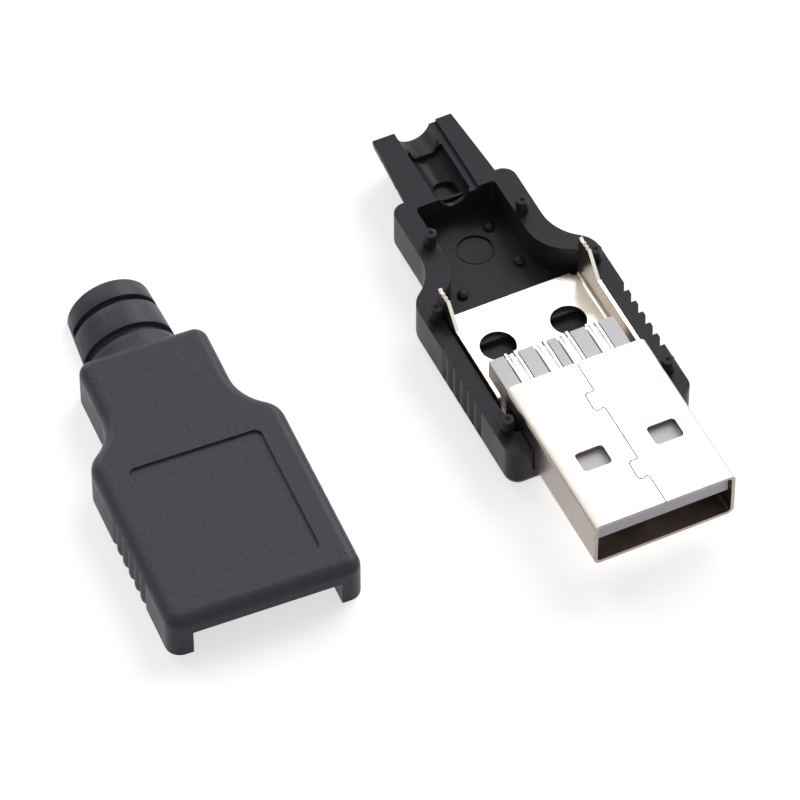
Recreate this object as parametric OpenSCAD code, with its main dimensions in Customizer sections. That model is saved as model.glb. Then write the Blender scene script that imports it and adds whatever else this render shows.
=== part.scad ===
// Solder-on USB-A plug: a metal plug core lying in its open base shell, with
// the cover shell lifted off and laid beside it.
// Millimetres. +Z is up from the surface that both shells lie on, the mouth of
// the plug points along -Y and the cable leaves along +Y. The origin is the
// centre of the base shell's flat underside.

/* [Housing outline] */
// Length of the housing without its cable tail
body_l = 27.2; // [24:0.1:36]
// Thickness of the closed housing, both shells together
body_t = 8; // [7:0.1:11]
// Width of the neck behind the shoulders
neck_w = 10.7; // [9:0.1:12]
// Distance from the start of the shoulders inside to their start outside
shoulder_step = 0.45; // [0.2:0.05:1]
// Radius of the full part of each shoulder
shoulder_r = 2.2; // [1.5:0.1:4]
// Radius of the hollow part of each shoulder
waist_r = 4.2; // [3:0.1:6]
// Radius of the long outer edge of each shell
edge_r = 1; // [0.4:0.05:1.1]
// Corner radius at the front, seen from above
front_corner_r = 1.2; // [1.15:0.05:2]
// Corner radius at the end of the neck, seen from above
neck_corner_r = 1.15; // [1.15:0.05:2]

/* [Shell walls] */
// Thickness of the floor of a shell
skin_t = 1.2; // [0.8:0.05:1.6]
// Thickness of the side walls beside the plug
side_t = 1.45; // [1.2:0.05:1.6]
// Clearance of the plug's channel beside the side walls
channel_clear = 0.2; // [0.1:0.05:0.4]
// Thickness of the front wall
front_t = 2.2; // [1.5:0.05:3]
// Thickness of the neck's side walls
neck_t = 1.85; // [1.2:0.05:2.2]
// Thickness of the wall between the chamber and the tail
rear_t = 0.95; // [0.8:0.05:1.5]
// Inside radius of the full part of each shoulder
inner_shoulder_r = 1.4; // [0.8:0.1:2]
// Inside radius of the hollow part of each shoulder
inner_waist_r = 3.6; // [3:0.1:5]
// Reach of the plug's channel past the start of the shoulders inside
channel_reach = 0.5; // [0.2:0.05:0.6]
// Corner radius inside the chamber
cavity_corner_r = 0.35; // [0.2:0.05:0.6]
// Width of the cross ribs that carry the plug
rib_w = 1; // [0.6:0.1:1.5]
// Distance from the front face to the front cross rib
rib_front_y = 3.9; // [3.2:0.1:4.2]
// Distance from the front face to the rear cross rib of the base
rib_rear_y = 13; // [9:0.1:14]

/* [Grip] */
// Number of grip teeth on each side
grip_count = 6; // [4:1:8]
// Spacing of the grip teeth
grip_pitch = 1.24; // [1:0.02:1.4]
// Depth of the grip teeth
grip_depth = 0.4; // [0.2:0.05:0.6]
// Length of the sloping side of a grip tooth
grip_slope = 0.78; // [0.5:0.02:0.95]
// Distance from the front face to the first grip tooth
grip_y = 5.2; // [4:0.1:6]
// Height of a grip tooth before it runs out towards the outer edge
grip_h = 3; // [2:0.1:3.2]

/* [Cover panel] */
// Width of the recessed panel
panel_w = 10.9; // [8:0.1:12]
// Length of the recessed panel
panel_l = 12.8; // [9:0.1:14]
// Distance from the front face to the panel
panel_y = 2.6; // [2:0.1:4]
// Depth of the panel
panel_d = 0.22; // [0.1:0.02:0.4]
// Corner radius of the panel
panel_r = 0.6; // [0.3:0.05:1]

/* [Cable tail] */
// Length of the cable tail
tail_l = 7; // [5:0.1:10]
// Outer radius of the tail where it leaves the neck
tail_r = 4.05; // [3.7:0.05:4.4]
// Outer radius of the tail at its end
tail_end_r = 3.5; // [3:0.05:3.65]
// Distance from the neck to the middle of the first ring groove
ring_1_y = 2.1; // [1.6:0.05:2.6]
// Width of the first ring groove
ring_1_w = 0.85; // [0.5:0.05:1]
// Distance from the neck to the middle of the second ring groove
ring_2_y = 5.3; // [4.5:0.05:5.8]
// Width of the second ring groove
ring_2_w = 0.6; // [0.4:0.05:1]
// Depth of the ring grooves
ring_d = 0.5; // [0.2:0.05:0.7]
// Angle above the parting face at which a ring groove stops
ring_stop = 14; // [8:1:25]
// Radius of the trough that the cable lies in
trough_r = 1.55; // [1.3:0.05:2]
// Radius inside the cable grip ribs
grip_rib_r = 1.25; // [0.9:0.05:1.3]
// Thickness of a cable grip rib
grip_rib_t = 0.35; // [0.25:0.05:0.6]
// Distance from the neck to the cable grip rib inside the tail
grip_rib_y = 4.6; // [3.5:0.1:5.5]
// Width of the relief pocket under the cable
pocket_w = 1.9; // [1.2:0.1:2.4]
// Length of the relief pocket under the cable
pocket_l = 2.5; // [1.5:0.1:3.5]
// Depth of the relief pocket below the trough
pocket_d = 0.35; // [0.2:0.05:0.6]
// Width of the rebate beside the trough
rebate_w = 0.55; // [0.3:0.05:0.8]
// Depth of the rebate beside the trough
rebate_d = 0.3; // [0.15:0.05:0.5]

/* [Locating pins] */
// Diameter of the locating pins
pin_d = 1.05; // [0.8:0.05:1.2]
// Height of the locating pins above the rim
pin_h = 1.3; // [0.8:0.05:1.6]
// Distance of the four wide pins from the hollow's edge
pin_edge = 0.44; // [0.3:0.02:0.7]
// Distance of the two neck pins from the hollow's edge
pin_neck_edge = 0.55; // [0.4:0.02:0.8]
// Distance from the front face to the front pins
pin_front_y = 2.75; // [2:0.05:4]
// Distance from the front face to the middle pins
pin_mid_y = 15.3; // [14:0.05:15.5]
// Distance from the front face to the neck pins
pin_neck_y = 22.4; // [21:0.05:23.5]
// Clearance of a pin in its socket, on the radius
pin_clear = 0.06; // [0.03:0.01:0.1]
// Extra depth of a socket past its pin
socket_extra = 0.2; // [0.1:0.05:0.5]

/* [Chamber marks] */
// Diameter of the ejector mark on the chamber floor
ejector_d = 3.05; // [2:0.05:4]
// Depth of the ejector mark
ejector_deep = 0.12; // [0.06:0.02:0.3]
// Diameter of the three chamber pegs
peg_d = 0.9; // [0.6:0.05:1.2]
// Height of the three chamber pegs
peg_h = 0.45; // [0.2:0.05:0.8]

/* [Metal plug] */
// Width of the plug's tube
plug_w = 12; // [11.9:0.05:12.1]
// Height of the plug's tube
plug_h = 4.5; // [4.4:0.05:4.6]
// Thickness of the folded sheet
sheet_t = 0.3; // [0.25:0.01:0.35]
// Outside bend radius of the tube's long edges
plug_corner_r = 0.6; // [0.4:0.05:0.8]
// Length of the tube along its top plate
tube_l = 15.2; // [13:0.1:17]
// Length of the tube that stands out of the housing
plug_out = 10.4; // [9:0.1:12]
// Length of the plug from its mouth to the end of its channel
plug_l = 26.8; // [24:0.1:28]
// Gap between the top plate and the start of the channel's walls
channel_gap = 0.8; // [0.5:0.1:1.5]
// Height of the channel's walls above the middle of the plug
wall_rise = 0.35; // [0:0.05:0.8]
// Height of the barbed ears above the middle of the plug
ear_rise = 2.1; // [1.5:0.05:2.5]
// Length of the barbed ears
ear_l = 1.6; // [1:0.1:2.5]
// Length of the slope up to an ear
ear_slope = 1.8; // [1:0.1:2.5]
// Height of the barbs on an ear
barb_h = 0.22; // [0.1:0.02:0.4]
// Length of a window in the tube
window_l = 1.96; // [1.9:0.02:2.1]
// Width of a window in the tube
window_w = 2.45; // [2.4:0.05:2.6]
// Corner radius of a window
window_r = 0.35; // [0.2:0.05:0.5]
// Distance of a window's middle from the centreline
window_x = 3.08; // [2.8:0.02:3.6]
// Distance from the mouth to the middle of a window
window_y = 6.14; // [5.5:0.02:6.5]
// Width of the slit along the folded seam
seam_w = 0.09; // [0.05:0.01:0.15]
// Length of a dovetail of the seam
tab_l = 1.95; // [1.5:0.05:2.2]
// Reach of a dovetail of the seam
tab_reach = 0.88; // [0.6:0.02:1]
// Distance from the mouth to the front dovetail
tab_1_y = 2.75; // [2:0.05:3]
// Distance from the mouth to the rear dovetail
tab_2_y = 10.2; // [9:0.05:11]
// Diameter of the two round holes in the channel floor
hole_d = 2.95; // [2:0.05:3.2]
// Distance of a round hole from the centreline
hole_x = 3.08; // [2.5:0.02:3.5]
// Distance from the mouth to the round holes
hole_y = 22.5; // [21.8:0.1:24]

/* [Insulator and contacts] */
// Thickness of the tongue
tongue_t = 1.64; // [1.5:0.02:1.75]
// Distance of the tongue's tip behind the mouth
tongue_set = 0.5; // [0.2:0.05:1]
// Clearance of the insulator inside the sheet
insulator_clear = 0.02; // [0.01:0.01:0.05]
// Gap between the tongue and the top plate
tongue_gap = 0.2; // [0.1:0.02:0.3]
// Distance from the mouth to the solid block
block_y = 9; // [8.6:0.1:10]
// Distance of the ribbed solder bed's sides from the tube's inner walls
bed_inset = 0.3; // [0.1:0.05:1]
// Length of the ribbed solder bed behind the top plate
bed_l = 4.3; // [3:0.1:5]
// Width of the channel that a solder cup lies in
cup_channel_w = 1.25; // [1.1:0.05:1.5]
// Width of a contact strip
contact_w = 1; // [0.9:0.05:1.1]
// Thickness of a contact strip
contact_t = 0.25; // [0.2:0.01:0.3]
// Height by which a strip stands out of the tongue
contact_proud = 0.05; // [0.02:0.01:0.1]
// Distance of the outer contacts from the centreline
outer_contact_x = 3.5; // [3.4:0.05:3.6]
// Distance of the inner contacts from the centreline
inner_contact_x = 1; // [0.95:0.05:1.1]
// Distance of the outer strips' tips behind the mouth
outer_tip_y = 1.4; // [1.2:0.05:2]
// Distance of the inner strips' tips behind the mouth
inner_tip_y = 2.4; // [2.2:0.05:3]
// Gap between the block and the start of a solder cup
cup_gap = 0.15; // [0.05:0.05:0.4]
// Outside radius of a solder cup
cup_r = 0.5; // [0.45:0.01:0.6]
// Wall thickness of a solder cup
cup_t = 0.2; // [0.12:0.01:0.25]
// Clearance round a contact in the insulator
contact_clear = 0.02; // [0.01:0.01:0.04]

/* [Cover laid aside] */
// Sideways distance of the cover's middle from the base
cover_x = -29.6; // [-40:0.1:-20]
// Distance of the cover's middle along the base
cover_y = -3.95; // [-10:0.05:10]
// Turn of the cover
cover_turn = -3.1; // [-15:0.1:15]

/* [Fits] */
// Clearance of the tube in the front notches
notch_clear = 0.06; // [0.03:0.01:0.1]
// Clearance between the plug and the ribs that carry it
seat_clear = 0.02; // [0.01:0.01:0.05]

/* [Shown part] */
// Name of the part to draw, or all

/* [Hidden] */
$fn = 48;
eps = 0.02;
half_t = body_t / 2;
front_y = -body_l / 2;
neck_y = body_l / 2;
tail_y = neck_y + tail_l;
cavity_hw = plug_w / 2 + sheet_t + channel_clear;
body_w = 2 * (cavity_hw + side_t);
neck_cavity_hw = neck_w / 2 - neck_t;
pin_wide_x = cavity_hw + pin_edge;
pin_neck_x = neck_cavity_hw + pin_neck_edge;
cavity_d = half_t - skin_t;
chamber_y = neck_y - rear_t;
inner_shoulder_y = plug_l - plug_out - channel_reach;
shoulder_y = inner_shoulder_y + shoulder_step;
mouth_y = front_y - plug_out;
plug_rear = mouth_y + plug_l;
bed_y = tube_l - 0.2;
bed_w = plug_w - 2 * sheet_t - 2 * bed_inset;
tongue_low = plug_h / 2 - sheet_t - tongue_gap - tongue_t;
cup_z = tongue_low - contact_proud + cup_r;
ejector_y = 22.5;
peg_at = [[2, 24.15], [2.6, 19.85], [-3, 18.6]];
arc_steps = 8;
edge_steps = 6;
tail_tilt = atan((tail_r - tail_end_r) / tail_l);

// Points and outward normals along an arc; s is -1 for a hollow arc.
function arc(c, r, a0, a1, s = 1) = [for (i = [0:arc_steps])
  let (a = a0 + (a1 - a0) * i / arc_steps)
  [[c.x + r * cos(a), c.y + r * sin(a)], [s * cos(a), s * sin(a)]]];

// Right half of a waisted outline from the front to the neck's end.
function half_line(hw, nw, y0, y1, ys, cr, nr, fr, wr) =
  let (turn = acos(1 - (hw - nw) / (fr + wr)),
    ye = ys + (fr + wr) * sin(turn))
  concat(
    arc([hw - cr, y0 + cr], cr, -90, 0),
    arc([hw - fr, ys], fr, 0, turn),
    arc([nw + wr, ye], wr, 180 + turn, 180, -1),
    arc([nw - nr, y1 - nr], nr, 0, 90));

function mirror_x(v) = [-v.x, v.y];
function whole_line(h) = concat(h,
  [for (i = [len(h) - 1:-1:0]) [mirror_x(h[i][0]), mirror_x(h[i][1])]]);

// Outline of the housing, and of the hollow inside it.
housing_line = whole_line(half_line(body_w / 2, neck_w / 2, front_y, neck_y,
  front_y + shoulder_y, front_corner_r, neck_corner_r, shoulder_r, waist_r));
hollow_line = whole_line(half_line(cavity_hw, neck_cavity_hw,
  front_y + front_t, chamber_y, front_y + inner_shoulder_y,
  cavity_corner_r, cavity_corner_r, inner_shoulder_r, inner_waist_r));

function line_points(l) = [for (p = l) p[0]];
function ring_points(l, inset, z) =
  [for (p = l) [p[0].x - inset * p[1].x, p[0].y - inset * p[1].y, z]];

module round_rect(w, l, r) {
  square([w - 2 * r, l], center = true);
  square([w, l - 2 * r], center = true);
  for (x = [-1, 1], y = [-1, 1])
    translate([x * (w / 2 - r), y * (l / 2 - r)]) circle(r);
}

module along_y(y, l) {
  translate([0, y, 0]) rotate([-90, 0, 0]) linear_extrude(l) children();
}

module both_sides() {
  children();
  mirror([1, 0, 0]) children();
}

// ---- What the two shells share. A half has its parting face at z = 0 and its
// outside up, as the cover lies; the base is the same half turned over.

// Solid body with the quarter-round outer edge.
module half_body() {
  n = len(housing_line);
  spare = 0.5;
  rings = concat([ring_points(housing_line, 0, -spare)],
    [for (k = [0:edge_steps]) let (a = 90 * k / edge_steps)
      ring_points(housing_line, edge_r * (1 - cos(a)),
        half_t - edge_r * (1 - sin(a)))],
    [ring_points(housing_line, edge_r, half_t + spare)]);
  m = len(rings);
  intersection() {
    translate([-body_w, -body_l, 0]) cube([2 * body_w, 2 * body_l, half_t]);
    polyhedron(
      points = [for (r = rings, p = r) p],
      faces = concat(
        [[for (i = [0:n - 1]) i]],
        [[for (i = [n - 1:-1:0]) (m - 1) * n + i]],
        [for (k = [0:m - 2], i = [0:n - 1]) let (j = (i + 1) % n)
          [k * n + j, k * n + i, (k + 1) * n + i, (k + 1) * n + j]]),
      convexity = 6);
  }
}

// The tapering tail: its crest stays level, so its axis dips.
module tail_frame() {
  translate([0, neck_y, tail_end_r - tail_r]) rotate([-90 + tail_tilt, 0, 0]) children();
}

module half_tail() {
  reach = 1.2;
  slope = (tail_r - tail_end_r) / tail_l;
  intersection() {
    tail_frame() translate([0, 0, -reach])
      cylinder(h = tail_l + 2 * reach, r1 = tail_r + reach * slope,
        r2 = tail_end_r - reach * slope);
    translate([-tail_r - 1, neck_y - 0.7, 0])
      cube([2 * tail_r + 2, tail_l + 0.7, half_t]);
  }
}

// A ring groove that stops short of the parting face with a round end.
module ring_groove(y, w, stop) {
  r = tail_r - (tail_r - tail_end_r) * y / tail_l;
  tail_frame() translate([0, 0, y]) {
    rotate([0, 0, 180 + stop]) rotate_extrude(angle = 180 - 2 * stop)
      translate([r - ring_d, -w / 2]) square([ring_d + 1, w]);
    for (a = [180 + stop, -stop])
      rotate([0, 0, a]) translate([r - ring_d, 0, 0]) rotate([0, 90, 0])
        cylinder(h = ring_d + 1, d = w);
  }
}

// Saw-tooth finger grips, running out towards the outer edge.
module grips() {
  x = body_w / 2;
  both_sides() intersection() {
    for (i = [0:grip_count - 1])
      translate([0, front_y + grip_y + i * grip_pitch, -eps])
        linear_extrude(half_t)
          polygon([[x - grip_depth, 0], [x, grip_slope], [x + 1, grip_slope], [x + 1, 0]]);
    translate([x - grip_depth, 0, grip_h]) rotate([0, -45, 0])
      translate([-body_w, -body_l, -2 * body_w]) cube([2 * body_w, 2 * body_l, 2 * body_w]);
  }
}

// Hollow, front notch for the tube and trough for the cable.
module half_hollow() {
  translate([0, 0, -eps]) linear_extrude(cavity_d + eps)
    polygon(line_points(hollow_line));
  translate([0, front_y + front_t / 2, 0]) cube([plug_w + 2 * notch_clear,
    front_t + 2 * eps, plug_h + 2 * notch_clear], center = true);
  along_y(chamber_y - eps, tail_l + rear_t + 1) circle(trough_r);
}

// Thin half-round ribs that grip the cable.
module cable_ribs() {
  for (y = [chamber_y, neck_y + grip_rib_y])
    intersection() {
      along_y(y, grip_rib_t) difference() {
        circle(trough_r + 0.15);
        circle(grip_rib_r);
      }
      translate([-half_t, y - half_t, 0]) cube(2 * half_t);
    }
}

module cross_rib(y) {
  top = plug_h / 2 + seat_clear;
  translate([-cavity_hw - 0.2, front_y + y, top])
    cube([2 * cavity_hw + 0.4, rib_w, cavity_d - top + 0.2]);
}

module at_pins() {
  for (p = [[pin_wide_x, pin_front_y], [pin_wide_x, pin_mid_y], [pin_neck_x, pin_neck_y]])
    both_sides() translate([p.x, front_y + p.y, 0]) children();
}

module half_shell() {
  difference() {
    union() {
      half_body();
      half_tail();
    }
    half_hollow();
    grips();
    ring_groove(ring_1_y, ring_1_w, ring_stop);
    ring_groove(ring_2_y, ring_2_w, ring_stop);
  }
  cable_ribs();
  cross_rib(rib_front_y);
}

// ---- Base shell

module pin() {
  difference() {
    translate([0, 0, -pin_h]) cylinder(h = pin_h + 0.5, d = pin_d);
    translate([0, 0, -pin_h - eps]) cylinder(h = 0.16, d1 = 0.5, d2 = 0.2);
  }
}

// A low peg with a domed end.
module peg() {
  dome = peg_d / 4;
  ball_r = (peg_d * peg_d / 4 + dome * dome) / (2 * dome);
  translate([0, 0, cavity_d - peg_h]) intersection() {
    translate([0, 0, ball_r]) sphere(ball_r);
    cylinder(h = peg_h + 0.2, d = peg_d);
  }
}

module base_shell() {
  color([0.11, 0.11, 0.13]) translate([0, 0, half_t]) mirror([0, 0, 1]) {
    difference() {
      half_shell();
      // Relief pocket, rebate beside the trough and ejector mark.
      translate([-pocket_w / 2, chamber_y + grip_rib_t, 0])
        cube([pocket_w, pocket_l - pocket_w / 2, trough_r + pocket_d]);
      translate([0, chamber_y + grip_rib_t + pocket_l - pocket_w / 2, 0])
        cylinder(h = trough_r + pocket_d, d = pocket_w);
      translate([trough_r - 0.3, chamber_y - eps, -eps])
        cube([rebate_w + 0.3, tail_l + rear_t + 1, rebate_d + eps]);
      translate([0, front_y + ejector_y, cavity_d - 1])
        cylinder(h = 1 + ejector_deep, d = ejector_d);
    }
    at_pins() pin();
    cross_rib(rib_rear_y);
    for (p = peg_at) translate([p.x, front_y + p.y, 0]) peg();
  }
}

// ---- Cover shell

module cover_shell() {
  color([0.13, 0.13, 0.15]) translate([cover_x, cover_y, 0]) rotate([0, 0, cover_turn])
    difference() {
      half_shell();
      at_pins() translate([0, 0, -eps])
        cylinder(h = pin_h + socket_extra + eps, r = pin_d / 2 + pin_clear);
      translate([0, front_y + panel_y + panel_l / 2, half_t - panel_d])
        linear_extrude(1) round_rect(panel_w, panel_l, panel_r);
    }
}

// ---- Metal plug. Its own frame has the mouth at y = 0 and its middle at z = 0.

module in_plug() {
  translate([0, mouth_y, half_t]) children();
}

module tube() {
  along_y(0, tube_l) difference() {
    round_rect(plug_w, plug_h, plug_corner_r);
    round_rect(plug_w - 2 * sheet_t, plug_h - 2 * sheet_t, plug_corner_r - sheet_t);
  }
}

// Side view of the channel: low wall, slope and barbed ear.
function ear_line() =
  let (y0 = tube_l + channel_gap, y1 = plug_l - ear_l, low = -plug_h / 2 - 0.1, n = 3)
  concat([[y0, low], [y0, wall_rise - 0.4], [y0 + 0.12, wall_rise - 0.12], [y0 + 0.4, wall_rise],
      [y1 - ear_slope, wall_rise], [y1 - ear_slope, wall_rise - 0.15]],
    [for (i = [0:n - 1], k = [0, 1])
      [y1 + (i + k * 0.75) * ear_l * 0.8 / n, ear_rise - k * barb_h]],
    [[plug_l - 0.12, ear_rise], [plug_l, ear_rise - 0.7], [plug_l, low]]);

module channel() {
  tall = 2 * plug_h;
  intersection() {
    along_y(tube_l, plug_l - tube_l) translate([0, plug_h / 2 - tall / 2]) difference() {
      round_rect(plug_w + 2 * sheet_t, tall, plug_corner_r);
      translate([0, -sheet_t]) round_rect(plug_w, tall, plug_corner_r - sheet_t);
    }
    rotate([90, 0, 90]) translate([0, 0, -plug_w]) linear_extrude(2 * plug_w)
      polygon(ear_line());
  }
  // Floor that joins the channel to the tube.
  translate([-plug_w / 2 + plug_corner_r, tube_l - 1, -plug_h / 2])
    cube([plug_w - 2 * plug_corner_r, channel_gap + 2, sheet_t]);
}

// Path of the seam along the top plate, with its two dovetails.
function tab_path(y) = [[0, y - 0.1], [-0.12, y + 0.12], [-0.55, y], [-0.78, y + 0.07],
  [-tab_reach, y + 0.35], [-tab_reach + 0.04, y + tab_l - 0.2], [-0.6, y + tab_l],
  [-0.1, y + tab_l - 0.06], [0, y + tab_l + 0.1]];
seam_path = concat([[0, -1]], tab_path(tab_1_y), tab_path(tab_2_y), [[0, tube_l + 1]]);

module seam() {
  translate([0, 0, 1]) linear_extrude(plug_h)
    for (i = [0:len(seam_path) - 2])
      let (p = seam_path[i], q = seam_path[i + 1], d = q - p)
        translate(p) rotate(atan2(d.y, d.x)) translate([-seam_w / 2, -seam_w / 2])
          square([norm(d) + seam_w, seam_w]);
}

module plug_shell() {
  color([0.78, 0.74, 0.68]) in_plug() difference() {
    union() {
      tube();
      channel();
    }
    seam();
    both_sides() {
      translate([window_x, window_y, -plug_h]) linear_extrude(2 * plug_h)
        round_rect(window_w, window_l, window_r);
      translate([hole_x, hole_y, -plug_h]) cylinder(h = plug_h, d = hole_d);
      // Bend relief at the floor's rear corners.
      translate([plug_w / 2 - 0.35, plug_l, -plug_h]) cylinder(h = plug_h - 1, r = 0.35);
    }
  }
}

// ---- Insulator

contact_xs = [-outer_contact_x, -inner_contact_x, inner_contact_x, outer_contact_x];
function tip_y(i) = i == 0 || i == 3 ? outer_tip_y : inner_tip_y;

module insulator() {
  w = plug_w - 2 * sheet_t - 2 * insulator_clear;
  low = -plug_h / 2 + sheet_t + insulator_clear;
  color([0.86, 0.85, 0.87]) in_plug() difference() {
    union() {
      translate([-w / 2 + 0.05, tongue_set, tongue_low])
        cube([w - 0.1, block_y, tongue_t]);
      along_y(block_y, tube_l - block_y)
        round_rect(w, -2 * low, plug_corner_r - sheet_t);
      translate([-bed_w / 2, bed_y, low]) cube([bed_w, bed_l + 0.2, cup_z - low]);
    }
    for (i = [0:3]) translate([contact_xs[i], 0, 0]) {
      translate([-contact_w / 2 - contact_clear, tip_y(i) - contact_clear,
          tongue_low - contact_proud - contact_clear])
        cube([contact_w + 2 * contact_clear, tube_l + 0.2 - tip_y(i),
          contact_t + 2 * contact_clear]);
      translate([-cup_channel_w / 2, tube_l, cup_z - cup_r - contact_clear])
        cube([cup_channel_w, bed_l + 1, 2 * cup_r]);
    }
  }
}

// ---- Contacts: a flat strip under the tongue that ends in an open solder cup.

module contact(i) {
  color([0.9, 0.9, 0.92]) in_plug() translate([contact_xs[i], 0, 0]) {
    translate([-contact_w / 2, tip_y(i), tongue_low - contact_proud])
      cube([contact_w, tube_l + cup_gap + 0.3 - tip_y(i), contact_t]);
    translate([0, 0, cup_z]) intersection() {
      along_y(tube_l + cup_gap, bed_l) difference() {
        circle(cup_r);
        circle(cup_r - cup_t);
      }
      translate([-1, 0, -1]) cube([2, plug_l, 1]);
    }
  }
}

base_shell();
cover_shell();
plug_shell();
insulator();
contact(0);  // contact_supply
contact(1);  // contact_data_minus
contact(2);  // contact_data_plus
contact(3);  // contact_ground
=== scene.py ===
import logging
import math
from dataclasses import dataclass, field
from enum import Enum
from typing import Callable

import bmesh
import bpy
from mathutils import Matrix, Vector


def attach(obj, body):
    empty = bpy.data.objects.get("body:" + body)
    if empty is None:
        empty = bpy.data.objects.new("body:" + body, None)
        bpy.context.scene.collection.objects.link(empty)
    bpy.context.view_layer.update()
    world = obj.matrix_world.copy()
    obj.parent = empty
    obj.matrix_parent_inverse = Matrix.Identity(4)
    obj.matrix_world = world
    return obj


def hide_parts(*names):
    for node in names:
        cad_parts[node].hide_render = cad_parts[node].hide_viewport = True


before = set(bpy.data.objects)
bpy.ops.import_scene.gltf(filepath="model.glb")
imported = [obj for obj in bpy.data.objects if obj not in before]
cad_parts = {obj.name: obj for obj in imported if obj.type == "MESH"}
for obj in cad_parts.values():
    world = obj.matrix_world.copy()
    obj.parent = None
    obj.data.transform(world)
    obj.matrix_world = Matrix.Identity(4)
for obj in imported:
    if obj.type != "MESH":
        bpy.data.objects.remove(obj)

LOG = logging.getLogger("solder_plug")
MM = 0.001
# Marks the broken edges, which get a painted highlight and a smoother finish.
EDGE_HIGHLIGHT_AND_POLISH = "edge_highlight_and_polish"
WELD_DISTANCE = 2e-7
FLAT_ANGLE = math.radians(0.4)
SMOOTH_ANGLE = math.radians(38.0)

Socket = bpy.types.NodeSocket
Colour = tuple[float, float, float]


class Slot(Enum):
    """The record's material slots."""

    BASE = "base_plastic"
    COVER = "cover_plastic"
    NICKEL = "nickel_sheet"
    INSULATOR = "insulator_plastic"
    CONTACT = "contact_metal"


class Texture(Enum):
    """The shader effects that more than one finish uses."""

    MOULD_GRAIN = "mould_grain"
    HANDLING = "handling_marks"
    ROLLED_SHEET = "rolled_sheet"


# ---------------------------------------------------------------- node helpers


@dataclass
class NodeSheet:
    """A node tree with short ways to add and join nodes.

    Args:
        tree: the material's or the group's node tree.
    """

    tree: bpy.types.NodeTree

    def add(self, kind: str, values: dict | None = None, **settings: object) -> bpy.types.Node:
        """Adds a node.

        Args:
            kind: the node's type name, such as ShaderNodeTexNoise.
            values: plain values for its input sockets, by name or number.
            settings: properties of the node.

        Returns:
            The new node.
        """
        node = self.tree.nodes.new(kind)
        for key, value in settings.items():
            setattr(node, key, value)
        for key, value in (values or {}).items():
            node.inputs[key].default_value = value
        return node

    def join(self, source: Socket, target: Socket) -> None:
        """Joins an output socket to an input socket."""
        self.tree.links.new(source, target)

    def noise(self, where: Socket, scale: float, detail: float, rough: float) -> Socket:
        """Adds a noise pattern.

        Args:
            where: the coordinates it reads.
            scale: features per metre.
            detail: octaves.
            rough: how strong the finer octaves are.

        Returns:
            The pattern's value, from 0 to 1.
        """
        node = self.add("ShaderNodeTexNoise",
                        {"Scale": scale, "Detail": detail, "Roughness": rough})
        self.join(where, node.inputs["Vector"])
        return node.outputs["Fac"]

    def remap(self, value: Socket, low: float, high: float,
              to_low: float = 0.0, to_high: float = 1.0) -> Socket:
        """Maps a range of a value to another range, clamped.

        Args:
            value: the value to map.
            low: where the range starts.
            high: where the range ends.
            to_low: the result at the start.
            to_high: the result at the end.

        Returns:
            The mapped value.
        """
        node = self.add("ShaderNodeMapRange", {"From Min": low, "From Max": high,
                                               "To Min": to_low, "To Max": to_high})
        self.join(value, node.inputs["Value"])
        return node.outputs["Result"]

    def maths(self, what: str, a: Socket | float, b: Socket | float = 0.0) -> Socket:
        """Adds a sum, product or other operation.

        Args:
            what: the operation, such as MULTIPLY.
            a: a socket or a number.
            b: a socket or a number.

        Returns:
            The result.
        """
        node = self.add("ShaderNodeMath", operation=what)
        for index, item in enumerate((a, b)):
            if isinstance(item, (int, float)):
                node.inputs[index].default_value = item
            else:
                self.join(item, node.inputs[index])
        return node.outputs[0]

    def mix_colour(self, share: Socket, first: Socket | Colour,
                   second: Socket | Colour) -> Socket:
        """Mixes two colours.

        Args:
            share: how much of the second colour there is.
            first: a colour, or a socket that gives one.
            second: a colour, or a socket that gives one.

        Returns:
            The mixed colour.
        """
        node = self.add("ShaderNodeMix", data_type="RGBA")
        self.join(share, node.inputs["Factor"])
        for index, item in ((6, first), (7, second)):
            if isinstance(item, tuple):
                node.inputs[index].default_value = (*item, 1.0)
            else:
                self.join(item, node.inputs[index])
        return node.outputs[2]


def new_group(kind: Texture, inputs: dict[str, float],
              outputs: list[str]) -> tuple[bpy.types.NodeTree, NodeSheet, dict, dict]:
    """Starts a shader node group that reads Object coordinates.

    Args:
        kind: the effect, which gives the group its name.
        inputs: the number sockets and their plain values.
        outputs: the number sockets that come out.

    Returns:
        The group, its sheet, its input sockets by name and its output sockets by name.
    """
    group = bpy.data.node_groups.new(kind.value, "ShaderNodeTree")
    for name, value in inputs.items():
        socket = group.interface.new_socket(name, in_out="INPUT", socket_type="NodeSocketFloat")
        socket.default_value = value
    for name in outputs:
        group.interface.new_socket(name, in_out="OUTPUT", socket_type="NodeSocketFloat")
    sheet = NodeSheet(group)
    start = sheet.add("NodeGroupInput")
    end = sheet.add("NodeGroupOutput")
    return group, sheet, dict(start.outputs.items()), dict(end.inputs.items())


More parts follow.
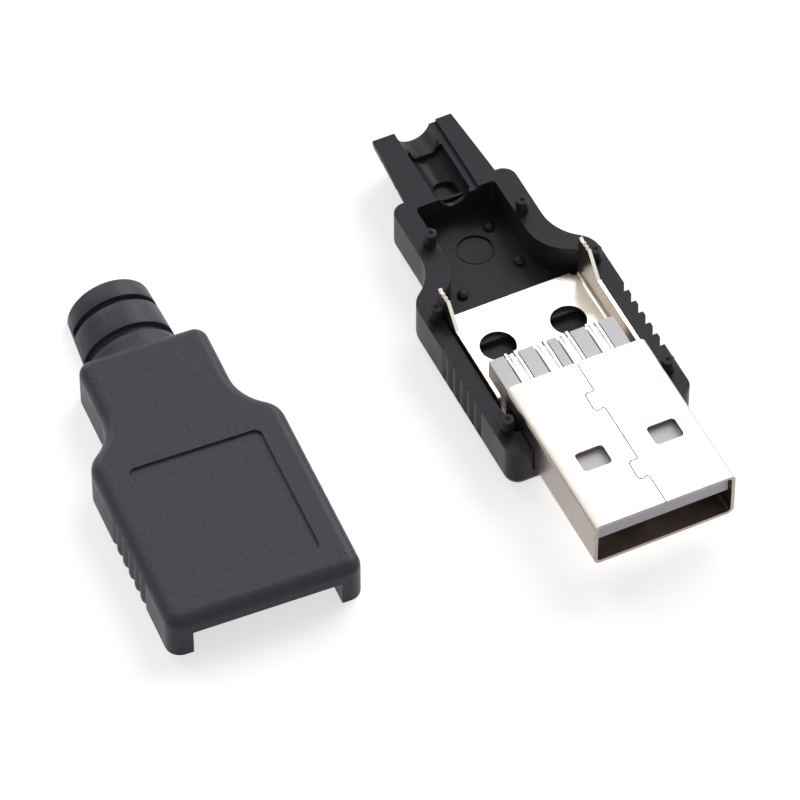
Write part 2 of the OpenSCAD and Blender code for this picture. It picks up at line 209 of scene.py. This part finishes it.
def mould_grain_group() -> bpy.types.NodeTree:
    """Builds the fine spark-eroded texture of a moulded shell.

    Returns:
        The group, with a Height for a bump, a Fleck mask and a Cloud mask.
    """
    group, sheet, given, gives = new_group(
        Texture.MOULD_GRAIN, {"Size": 1.0}, ["Height", "Fleck", "Cloud"])
    where = sheet.add("ShaderNodeTexCoord").outputs["Object"]
    scaled = sheet.add("ShaderNodeVectorMath", operation="SCALE")
    sheet.join(where, scaled.inputs[0])
    sheet.join(given["Size"], scaled.inputs["Scale"])
    spot = scaled.outputs["Vector"]
    cells = sheet.add("ShaderNodeTexVoronoi", {"Scale": 5200.0, "Randomness": 1.0},
                      feature="SMOOTH_F1")
    sheet.join(spot, cells.inputs["Vector"])
    soft = sheet.noise(spot, scale=3300.0, detail=4.0, rough=0.62)
    broad = sheet.noise(spot, scale=620.0, detail=3.0, rough=0.55)
    height = sheet.maths("ADD", sheet.maths("MULTIPLY", cells.outputs["Distance"], 0.55),
                         sheet.maths("ADD", soft, sheet.maths("MULTIPLY", broad, 0.5)))
    sheet.join(height, gives["Height"])
    specks = sheet.noise(spot, scale=4300.0, detail=2.0, rough=0.7)
    sheet.join(sheet.remap(specks, low=0.6, high=0.74), gives["Fleck"])
    sheet.join(sheet.noise(where, scale=170.0, detail=3.0, rough=0.6), gives["Cloud"])
    return group


def handling_group() -> bpy.types.NodeTree:
    """Builds the marks of handling: faint smears and a few hairline scratches.

    Returns:
        The group, with a Smear mask and a Scratch mask.
    """
    group, sheet, given, gives = new_group(
        Texture.HANDLING, {"Turn": 0.0}, ["Smear", "Scratch"])
    where = sheet.add("ShaderNodeTexCoord").outputs["Object"]
    turned = sheet.add("ShaderNodeVectorRotate", rotation_type="Z_AXIS")
    sheet.join(where, turned.inputs["Vector"])
    sheet.join(given["Turn"], turned.inputs["Angle"])
    spot = turned.outputs["Vector"]
    wiped = sheet.noise(spot, scale=240.0, detail=4.0, rough=0.6)
    sheet.join(sheet.remap(wiped, low=0.45, high=0.75), gives["Smear"])
    stretched = sheet.add("ShaderNodeMapping", {"Scale": (9000.0, 130.0, 900.0)})
    sheet.join(spot, stretched.inputs["Vector"])
    lines = sheet.noise(stretched.outputs["Vector"], scale=1.0, detail=2.0, rough=0.5)
    areas = sheet.noise(spot, scale=310.0, detail=2.0, rough=0.5)
    patches = sheet.remap(areas, low=0.5, high=0.66)
    scratch = sheet.maths("MULTIPLY", sheet.remap(lines, low=0.66, high=0.74), patches)
    sheet.join(scratch, gives["Scratch"])
    return group


def rolled_sheet_group() -> bpy.types.NodeTree:
    """Builds the faint rolling lines and the mottled plating of thin sheet.

    Returns:
        The group, with a Height for a bump, a Streak mask and a Mottle mask.
    """
    group, sheet, given, gives = new_group(
        Texture.ROLLED_SHEET, {"Fineness": 1.0}, ["Height", "Streak", "Mottle"])
    where = sheet.add("ShaderNodeTexCoord").outputs["Object"]
    scaled = sheet.add("ShaderNodeVectorMath", operation="SCALE")
    sheet.join(where, scaled.inputs[0])
    sheet.join(given["Fineness"], scaled.inputs["Scale"])
    along = sheet.add("ShaderNodeMapping", {"Scale": (4200.0, 160.0, 4200.0)})
    sheet.join(scaled.outputs["Vector"], along.inputs["Vector"])
    streak = sheet.noise(along.outputs["Vector"], scale=1.0, detail=4.0, rough=0.6)
    mottle = sheet.noise(scaled.outputs["Vector"], scale=420.0, detail=5.0, rough=0.65)
    sheet.join(streak, gives["Streak"])
    sheet.join(mottle, gives["Mottle"])
    sheet.join(sheet.maths("ADD", sheet.maths("MULTIPLY", streak, 0.5), mottle),
               gives["Height"])
    return group


GROUP_MAKERS: dict[Texture, Callable[[], bpy.types.NodeTree]] = {
    Texture.MOULD_GRAIN: mould_grain_group,
    Texture.HANDLING: handling_group,
    Texture.ROLLED_SHEET: rolled_sheet_group,
}


def place_group(sheet: NodeSheet, kind: Texture, **values: float) -> bpy.types.Node:
    """Places a shared effect in a material, and builds it the first time.

    Args:
        sheet: the material's sheet.
        kind: the effect.
        values: the effect's own inputs for this material.

    Returns:
        The group's node.
    """
    group = bpy.data.node_groups.get(kind.value) or GROUP_MAKERS[kind]()
    node = sheet.add("ShaderNodeGroup")
    node.node_tree = group
    for name, value in values.items():
        node.inputs[name].default_value = value
    return node


# -------------------------------------------------------------------- finishes


def new_material(name: str) -> tuple[bpy.types.Material, NodeSheet, bpy.types.Node]:
    """Starts a material.

    Args:
        name: the finish's name.

    Returns:
        The material, its sheet and its Principled BSDF.
    """
    material = bpy.data.materials.new(name)
    material.use_nodes = True
    sheet = NodeSheet(material.node_tree)
    return material, sheet, material.node_tree.nodes["Principled BSDF"]


def bump(sheet: NodeSheet, height: Socket, strength: float,
         depth: float, shader: bpy.types.Node) -> None:
    """Feeds a height to a shader's normal.

    Args:
        sheet: the material's sheet.
        height: the height pattern.
        strength: the bump's strength.
        depth: the pattern's depth in metres.
        shader: the shader whose normal it drives.
    """
    node = sheet.add("ShaderNodeBump", {"Strength": strength, "Distance": depth})
    sheet.join(height, node.inputs["Height"])
    sheet.join(node.outputs["Normal"], shader.inputs["Normal"])


@dataclass(frozen=True)
class MouldedFinish:
    """Black moulded plastic with a spark-eroded surface and a painted highlight along its broken
    edges.

    Args:
        name: the finish's name.
        colour: the plastic's colour.
        worn_and_highlight: its colour where it is flecked or scratched, and the painted highlight
            on its broken edges.
        roughness: the plain surface's roughness.
        grain: how strong the grain's relief is.
        size: how fine the grain is.
        sheen: the shader's specular level.
        turn: which way the handling marks run, in radians.
        fleck: how far a fleck goes to the worn colour.
        scratch: how far a scratch goes to the worn colour.
        patchy: how much the roughness changes from place to place.
        smear: how much smoother a smear is.
        polish: how much smoother a broken edge is.
        depth: the grain's depth, in metres.
    """

    name: str
    colour: Colour
    worn_and_highlight: Colour
    roughness: float
    grain: float
    size: float
    sheen: float
    turn: float
    fleck: float = 0.16
    scratch: float = 0.25
    patchy: float = 0.16
    smear: float = 0.07
    polish: float = 0.08
    depth: float = 0.00003

    def material(self) -> bpy.types.Material:
        """Builds the material.

        Returns:
            The material.
        """
        material, sheet, shader = new_material(self.name)
        grain = place_group(sheet, Texture.MOULD_GRAIN, Size=self.size)
        marks = place_group(sheet, Texture.HANDLING, Turn=self.turn)
        dust_and_highlight = sheet.maths("ADD", sheet.maths("MULTIPLY", grain.outputs["Fleck"], self.fleck),
                           sheet.maths("MULTIPLY", marks.outputs["Scratch"], self.scratch))
        # The broken edges are painted lighter in cloudy patches as a painted highlight, and made
        # smoother.
        highlight_and_polish = sheet.add("ShaderNodeAttribute", attribute_name=EDGE_HIGHLIGHT_AND_POLISH).outputs["Fac"]
        patch = sheet.remap(grain.outputs["Cloud"], low=0.35, high=0.6, to_low=0.25, to_high=0.6)
        dust_and_highlight = sheet.maths("ADD", dust_and_highlight, sheet.maths("MULTIPLY", highlight_and_polish, patch))
        shade = sheet.mix_colour(dust_and_highlight, self.colour, self.worn_and_highlight)
        sheet.join(shade, shader.inputs["Base Color"])
        rough = sheet.maths("ADD", sheet.maths("MULTIPLY", grain.outputs["Cloud"], self.patchy),
                            self.roughness - self.patchy / 2)
        rough = sheet.maths("SUBTRACT", rough,
                            sheet.maths("MULTIPLY", marks.outputs["Smear"], self.smear))
        rough = sheet.maths("SUBTRACT", rough, sheet.maths("MULTIPLY", highlight_and_polish, self.polish))
        sheet.join(rough, shader.inputs["Roughness"])
        shader.inputs["Specular IOR Level"].default_value = self.sheen
        bump(sheet, grain.outputs["Height"], self.grain, self.depth, shader)
        return material


@dataclass(frozen=True)
class PlatedFinish:
    """Plated sheet metal with faint rolling lines, a warm, mottled plating and painted shade on
    its upright faces.

    Args:
        name: the finish's name.
        colour: the plating's colour.
        shade: its colour in the mottled patches.
        painted_side_shade: its colour on upright faces, a painted shade.
        roughness: the plain surface's roughness.
        fineness: how fine the rolling lines are.
        blotch: how far a patch goes to its colour.
        streak: how much rougher a rolling line is.
        evened: how much the roughness is lowered for the lines.
        smear: how much rougher a smear is.
        scratch: how much rougher a scratch is.
        turn: which way the handling marks run, in radians.
        relief: how strong the lines' relief is.
        depth: the lines' depth, in metres.
    """

    name: str
    colour: Colour
    shade: Colour
    painted_side_shade: Colour
    roughness: float
    fineness: float
    blotch: float = 0.55
    streak: float = 0.12
    evened: float = 0.05
    smear: float = 0.08
    scratch: float = 0.2
    turn: float = 0.35
    relief: float = 0.25
    depth: float = 0.000012

    def material(self) -> bpy.types.Material:
        """Builds the material.

        Returns:
            The material.
        """
        material, sheet, shader = new_material(self.name)
        rolled = place_group(sheet, Texture.ROLLED_SHEET, Fineness=self.fineness)
        marks = place_group(sheet, Texture.HANDLING, Turn=self.turn)
        mottle = sheet.remap(rolled.outputs["Mottle"], low=0.4, high=0.72, to_high=self.blotch)
        # Upright faces are painted in the darker side colour: painted shade, since less light
        # falls on them.
        face = sheet.add("ShaderNodeSeparateXYZ")
        sheet.join(sheet.add("ShaderNodeNewGeometry").outputs["Normal"], face.inputs[0])
        level = sheet.maths("ABSOLUTE", face.outputs["Z"])
        plate = sheet.mix_colour(mottle, self.colour, self.shade)
        flat = sheet.remap(level, low=0.25, high=0.85)
        sheet.join(sheet.mix_colour(flat, self.painted_side_shade, plate), shader.inputs["Base Color"])
        rough = sheet.maths("ADD", sheet.maths("MULTIPLY", rolled.outputs["Streak"], self.streak),
                            self.roughness - self.evened)
        for mask, share in (("Smear", self.smear), ("Scratch", self.scratch)):
            rough = sheet.maths("ADD", rough, sheet.maths("MULTIPLY", marks.outputs[mask], share))
        sheet.join(rough, shader.inputs["Roughness"])
        shader.inputs["Metallic"].default_value = 1.0
        bump(sheet, rolled.outputs["Height"], self.relief, self.depth, shader)
        return material


@dataclass(frozen=True)
class InsulatorFinish:
    """Grey-white moulded insulator, into which a little light passes.

    Args:
        name: the finish's name.
        colour: the plastic's colour.
        shade: its colour in the cloudy patches.
        roughness: the plain surface's roughness.
        size: how fine the grain is.
        fleck: how much rougher a fleck is.
        grain: how strong the grain's relief is.
        depth: the grain's depth, in metres.
        glow: the share of light that passes in.
        passing: how far red, green and blue light pass in, in metres.
    """

    name: str
    colour: Colour
    shade: Colour
    roughness: float
    size: float = 0.6
    fleck: float = 0.1
    grain: float = 0.2
    depth: float = 0.00001
    glow: float = 0.08
    passing: tuple[float, float, float] = (0.0006, 0.0005, 0.0005)

    def material(self) -> bpy.types.Material:
        """Builds the material.

        Returns:
            The material.
        """
        material, sheet, shader = new_material(self.name)
        grain = place_group(sheet, Texture.MOULD_GRAIN, Size=self.size)
        cloud = sheet.remap(grain.outputs["Cloud"], low=0.35, high=0.7)
        sheet.join(sheet.mix_colour(cloud, self.colour, self.shade), shader.inputs["Base Color"])
        flecks = sheet.maths("MULTIPLY", grain.outputs["Fleck"], self.fleck)
        sheet.join(sheet.maths("ADD", flecks, self.roughness), shader.inputs["Roughness"])
        bump(sheet, grain.outputs["Height"], self.grain, self.depth, shader)
        shader.inputs["Subsurface Weight"].default_value = self.glow
        shader.inputs["Subsurface Radius"].default_value = self.passing
        shader.inputs["Subsurface Scale"].default_value = 0.5
        return material


# ---------------------------------------------------------------------- pieces


@dataclass
class Piece:
    """One separate piece, made from its solid with the edges broken as the real one's are.

    Args:
        node: the solid's name.
        slot: the record's material slot; not used.
        edge: the radius of the broken edges, in mm.
        segments: how many faces round an edge.
        crease: the angle, in degrees, from which an edge counts as an edge.
    """

    node: str
    slot: Slot
    edge: float = 0.06
    segments: int = 2
    crease: float = 32.0

    def solid(self) -> bmesh.types.BMesh:
        """Copies the solid and joins its loose triangles into flat faces.

        Returns:
            The closed mesh.
        """
        mesh = bmesh.new()
        mesh.from_mesh(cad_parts[self.node].data)
        bmesh.ops.remove_doubles(mesh, verts=mesh.verts[:], dist=WELD_DISTANCE)
        bmesh.ops.dissolve_limit(mesh, angle_limit=FLAT_ANGLE, verts=mesh.verts[:],
                                 edges=mesh.edges[:], use_dissolve_boundaries=False)
        return mesh

    def sharp_edges(self, mesh: bmesh.types.BMesh) -> list[bmesh.types.BMEdge]:
        """Finds the edges that are broken.

        Args:
            mesh: the piece's mesh.

        Returns:
            The edges at or over the crease angle.
        """
        limit = math.radians(self.crease)
        return [e for e in mesh.edges
                if len(e.link_faces) == 2 and e.calc_face_angle(0.0) > limit]

    def break_edges(self, mesh: bmesh.types.BMesh) -> None:
        """Rounds the sharp edges by the piece's own small radius, and marks the new faces for the
        painted edge highlight and a smoother finish.

        Args:
            mesh: the piece's mesh.
        """
        highlight_layer = mesh.faces.layers.float.new(EDGE_HIGHLIGHT_AND_POLISH)
        made = bmesh.ops.bevel(mesh, geom=self.sharp_edges(mesh), offset=self.edge * MM,
                               offset_type="OFFSET", segments=self.segments, profile=0.5,
                               affect="EDGES", clamp_overlap=True, material=-1,
                               loop_slide=True)
        # These faces get the painted edge highlight.
        for face in made["faces"]:
            face[highlight_layer] = 1.0

    def build(self) -> bpy.types.Object:
        """Builds the piece.

        Returns:
            The piece's object, riding with the part.
        """
        mesh = self.solid()
        self.break_edges(mesh)
        return self.finish(mesh)

    def finish(self, mesh: bmesh.types.BMesh) -> bpy.types.Object:
        """Makes the object, smooths it between its edges and lets it ride.

        Args:
            mesh: the finished mesh.

        Returns:
            The object.
        """
        data = bpy.data.meshes.new(self.node + "_look")
        for face in mesh.faces:
            face.smooth = True
        for edge in mesh.edges:
            edge.smooth = (len(edge.link_faces) == 2
                           and edge.calc_face_angle(0.0) < SMOOTH_ANGLE)
        mesh.to_mesh(data)
        mesh.free()
        piece = bpy.data.objects.new(self.node + "_look", data)
        bpy.context.scene.collection.objects.link(piece)
        even = piece.modifiers.new("even_shading", "WEIGHTED_NORMAL")
        even.keep_sharp = True
        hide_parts(self.node)
        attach(piece, "root")
        return piece

    def dress(self, piece: bpy.types.Object, *materials: bpy.types.Material) -> None:
        """Gives the piece its finish."""
        for material in materials:
            piece.data.materials.append(material)


@dataclass
class BaseShell(Piece):
    """The open base shell, with the marks of its mould and the cable's cross walls.

    Args:
        wall_y: where the cross walls of the cable trough stand, in mm.
        wall: width, thickness and top of a cross wall, in mm.
        foot: how low a cross wall goes, in mm.
        wall_edge: the radius of a cross wall's broken edges, in mm.
        mark: the ejector mark's place along the part, its radius and its floor, in mm.
        mark_line: the radius of the mark's raised line, in mm.
    """

    wall_y: tuple[float, float] = (13.35, 18.36)
    wall: tuple[float, float, float] = (2.26, 0.24, 3.0)
    foot: float = 2.02
    wall_edge: float = 0.05
    mark: tuple[float, float, float] = (8.9, 1.5, 1.2)
    mark_line: float = 0.055

    def build(self) -> bpy.types.Object:
        """Builds the shell, its cross walls and its ejector mark.

        Returns:
            The shell's object.
        """
        mesh = self.solid()
        self.break_edges(mesh)
        for y in self.wall_y:
            self.cross_wall(mesh, y)
        self.ejector_ring(mesh)
        return self.finish(mesh)

    def cross_wall(self, mesh: bmesh.types.BMesh, y: float) -> None:
        """Adds one thin wall with a straight top across the trough.

        Args:
            mesh: the shell's mesh.
            y: the wall's place along the part, in mm.
        """
        wide, thick, top = self.wall
        made = bmesh.ops.create_cube(mesh, size=1.0)["verts"]
        bmesh.ops.scale(mesh, vec=Vector((wide, thick, top - self.foot)) * MM, verts=made)
        bmesh.ops.translate(mesh, verts=made,
                            vec=Vector((0.0, y, (top + self.foot) / 2)) * MM)
        edges = list({e for v in made for e in v.link_edges})
        bmesh.ops.bevel(mesh, geom=edges, offset=self.wall_edge * MM, offset_type="OFFSET",
                        segments=2, profile=0.5, affect="EDGES", clamp_overlap=True,
                        material=-1)

    def ejector_ring(self, mesh: bmesh.types.BMesh) -> None:
        """Adds the fine raised line that the ejector leaves on the chamber floor.

        Args:
            mesh: the shell's mesh.
        """
        y, radius, floor = self.mark
        verts = bmesh.ops.create_circle(mesh, segments=10, radius=self.mark_line * MM,
                                        cap_ends=False)["verts"]
        bmesh.ops.rotate(mesh, verts=verts, cent=(0, 0, 0),
                         matrix=Matrix.Rotation(math.radians(90), 3, "X"))
        bmesh.ops.translate(mesh, verts=verts, vec=Vector((radius, y, floor)) * MM)
        edges = list({e for v in verts for e in v.link_edges})
        bmesh.ops.spin(mesh, geom=verts + edges, cent=Vector((0.0, y, floor)) * MM,
                       axis=(0, 0, 1), angle=math.tau, steps=72, use_merge=True)
        whole = {f for v in verts for f in v.link_faces}
        reach = set(whole)
        while reach:
            reach = {n for f in reach for e in f.edges for n in e.link_faces} - whole
            whole |= reach
        bmesh.ops.recalc_face_normals(mesh, faces=list(whole))


@dataclass
class PlugShell(Piece):
    """The folded metal shell, whose tube is painted darker inside as shade.

    Args:
        mouth: where the tube starts, in mm.
        tube_end: where its top plate ends, in mm.
        inner: half the width inside and the two heights of the inner walls, in mm.
        lip: how far in from the mouth the painted shade starts, in mm.
        past_end: how far past the top plate a face's middle may lie, in mm.
        cut_back: how far before the top plate's end the faces are cut, in mm.
    """

    mouth: float = -24.0
    tube_end: float = -8.8
    inner: tuple[float, float, float] = (5.74, 2.02, 5.98)
    lip: float = 0.02
    past_end: float = 0.5
    cut_back: float = 0.4

    def is_inside(self, face: bmesh.types.BMFace) -> bool:
        """Tells whether a face is inside the tube, where shade is painted.

        Args:
            face: a face of the shell.

        Returns:
            True for the faces inside the tube.
        """
        half, low, high = self.inner
        at = face.calc_center_median() / MM
        return (abs(at.x) < half and low < at.z < high
                and self.mouth + self.lip < at.y < self.tube_end + self.past_end)

    def build(self) -> bpy.types.Object:
        """Builds the shell and gives the faces inside the tube the painted shade.

        Returns:
            The shell's object.
        """
        mesh = self.solid()
        self.split_floor(mesh)
        self.break_edges(mesh)
        # Faces inside the tube take the second finish, a darker plating that is painted shade.
        for face in mesh.faces:
            face.material_index = 1 if self.is_inside(face) else 0
        return self.finish(mesh)

    def split_floor(self, mesh: bmesh.types.BMesh) -> None:
        """Cuts the faces near the end of the tube, so the painted shade ends there.

        Args:
            mesh: the shell's mesh.
        """
        geom = mesh.verts[:] + mesh.edges[:] + mesh.faces[:]
        bmesh.ops.bisect_plane(mesh, geom=geom, dist=1e-7,
                               plane_co=Vector((0.0, self.tube_end - self.cut_back, 0.0)) * MM,
                               plane_no=(0, 1, 0))


# ----------------------------------------------------------------- table, light


@dataclass
class Studio:
    """White table, soft light from above and behind, and the camera.

    Args:
        reach: half the table's side, in metres.
        target: what the lights and the camera face.
        camera_at: where the camera stands.
        lens: the camera's focal length, in mm.
        lift: how much white the table adds where it is seen.
        fill: the strength of the light all round.
    """

    reach: float = 0.9
    target: Vector = field(default_factory=lambda: Vector((-12.9, -4.2, 3.45)) * MM)
    camera_at: Vector = field(default_factory=lambda: Vector((-147.9, -286.3, 381.5)) * MM)
    lens: float = 285.0
    lift: float = 0.66
    fill: float = 0.16

    def table(self) -> bpy.types.Object:
        """Builds the white table.

        Returns:
            The table's object.
        """
        mesh = bmesh.new()
        bmesh.ops.create_grid(mesh, x_segments=2, y_segments=2, size=self.reach)
        data = bpy.data.meshes.new("table")
        mesh.to_mesh(data)
        mesh.free()
        table = bpy.data.objects.new("table", data)
        bpy.context.scene.collection.objects.link(table)
        data.materials.append(self.table_material())
        return table

    def table_material(self) -> bpy.types.Material:
        """Builds the table's white, which keeps the shadow.

        Returns:
            The material.
        """
        material, sheet, shader = new_material("white_table")
        shader.inputs["Base Color"].default_value = (0.86, 0.85, 0.88, 1.0)
        shader.inputs["Roughness"].default_value = 0.9
        shader.inputs["Specular IOR Level"].default_value = 0.0
        shader.inputs["Emission Color"].default_value = (1.0, 1.0, 1.0, 1.0)
        path = sheet.add("ShaderNodeLightPath")
        seen = sheet.maths("MAXIMUM", path.outputs["Is Camera Ray"],
                           path.outputs["Is Glossy Ray"])
        sheet.join(sheet.maths("MULTIPLY", seen, self.lift), shader.inputs["Emission Strength"])
        return material

    def softbox(self, name: str, at: tuple[float, float, float], size: float,
                power: float, colour: Colour) -> bpy.types.Object:
        """Hangs a square soft light that faces the object.

        Args:
            name: the light's name.
            at: its place, in metres.
            size: its side, in metres.
            power: its power, in watts.
            colour: its colour.

        Returns:
            The light.
        """
        data = bpy.data.lights.new(name, "AREA")
        data.shape = "SQUARE"
        data.size = size
        data.energy = power
        data.color = colour
        light = bpy.data.objects.new(name, data)
        bpy.context.scene.collection.objects.link(light)
        light.location = at
        way = self.target - Vector(at)
        light.rotation_euler = way.to_track_quat("-Z", "Y").to_euler()
        return light

    def world(self) -> None:
        """Fills the surroundings with soft light, and with white where they are seen."""
        world = bpy.data.worlds.new("surroundings")
        bpy.context.scene.world = world
        world.use_nodes = True
        sheet = NodeSheet(world.node_tree)
        world.node_tree.nodes.clear()
        out = sheet.add("ShaderNodeOutputWorld")
        fill = sheet.add("ShaderNodeBackground", {"Color": (0.93, 0.94, 1.0, 1.0),
                                                  "Strength": self.fill})
        seen = sheet.add("ShaderNodeBackground", {"Color": (1.0, 1.0, 1.0, 1.0),
                                                  "Strength": 1.0})
        path = sheet.add("ShaderNodeLightPath")
        pick = sheet.add("ShaderNodeMixShader")
        rays = sheet.maths("MAXIMUM", path.outputs["Is Camera Ray"],
                           sheet.maths("MAXIMUM", path.outputs["Is Glossy Ray"],
                                       path.outputs["Is Transmission Ray"]))
        sheet.join(rays, pick.inputs[0])
        sheet.join(fill.outputs[0], pick.inputs[1])
        sheet.join(seen.outputs[0], pick.inputs[2])
        sheet.join(pick.outputs[0], out.inputs["Surface"])

    def camera(self) -> bpy.types.Object:
        """Sets the camera above and in front of the left corner.

        Returns:
            The camera.
        """
        data = bpy.data.cameras.new("camera")
        data.lens = self.lens
        data.sensor_width = 36.0
        data.clip_end = 10.0
        camera = bpy.data.objects.new("camera", data)
        bpy.context.scene.collection.objects.link(camera)
        camera.location = self.camera_at
        way = self.target - self.camera_at
        camera.rotation_euler = way.to_track_quat("-Z", "Y").to_euler()
        bpy.context.scene.camera = camera
        return camera

    def build(self) -> None:
        """Builds the table, the lights, the surroundings and the camera."""
        self.table()
        self.softbox("back_light", at=(0.66, 0.42, 0.66), size=0.7, power=5.5,
                     colour=(1.0, 0.99, 0.97))
        self.softbox("far_light", at=(-0.15, 0.85, 0.5), size=0.6, power=2.2,
                     colour=(1.0, 1.0, 1.0))
        self.world()
        self.camera()


def main() -> None:
    """Builds every piece, dresses it and sets the table and the light."""
    logging.basicConfig(level=logging.INFO, format="%(name)s: %(message)s")
    bpy.context.scene.view_settings.view_transform = "Standard"
    # The worn colours also give the painted highlight on the broken edges.
    base_plastic = MouldedFinish(
        "base_black", colour=(0.03, 0.029, 0.037), worn_and_highlight=(0.1, 0.1, 0.12),
        roughness=0.38, grain=0.4, size=0.7, sheen=0.16, turn=0.6).material()
    cover_plastic = MouldedFinish(
        "cover_black", colour=(0.078, 0.074, 0.092), worn_and_highlight=(0.2, 0.19, 0.23),
        roughness=0.42, grain=1.0, size=0.6, sheen=0.18, turn=0.2).material()
    # The side colours below are painted shade on the upright faces of the sheet.
    nickel = PlatedFinish(
        "warm_nickel", colour=(0.84, 0.8, 0.73), shade=(0.74, 0.68, 0.6),
        painted_side_shade=(0.42, 0.36, 0.32), roughness=0.26, fineness=1.0).material()
    # A darker plating for the inside of the tube: painted shade.
    nickel_painted_shade = PlatedFinish(
        "nickel_painted_shade", colour=(0.22, 0.17, 0.14), shade=(0.12, 0.09, 0.075),
        painted_side_shade=(0.14, 0.11, 0.09), roughness=0.4, fineness=1.0).material()
    tin = PlatedFinish(
        "bright_tin", colour=(0.93, 0.93, 0.95), shade=(0.72, 0.72, 0.76),
        painted_side_shade=(0.5, 0.49, 0.5), roughness=0.14, fineness=1.6).material()
    nylon = InsulatorFinish(
        "grey_white_insulator", colour=(0.96, 0.95, 0.97), shade=(0.9, 0.89, 0.93),
        roughness=0.42).material()
    contacts = ("contact_supply", "contact_data_minus", "contact_data_plus", "contact_ground")
    pieces = [
        (BaseShell("base_shell", Slot.BASE), base_plastic),
        (Piece("cover_shell", Slot.COVER, edge=0.1, segments=3), cover_plastic),
        (PlugShell("plug_shell", Slot.NICKEL, edge=0.03), nickel, nickel_painted_shade),
        (Piece("insulator", Slot.INSULATOR, edge=0.1, segments=3), nylon),
        *((Piece(name, Slot.CONTACT, edge=0.02), tin) for name in contacts),
    ]
    for plan, *materials in pieces:
        piece = plan.build()
        plan.dress(piece, *materials)
        LOG.info("%s: %d faces", plan.node, len(piece.data.polygons))
    Studio().build()


if __name__ == "__main__":
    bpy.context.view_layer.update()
    main()
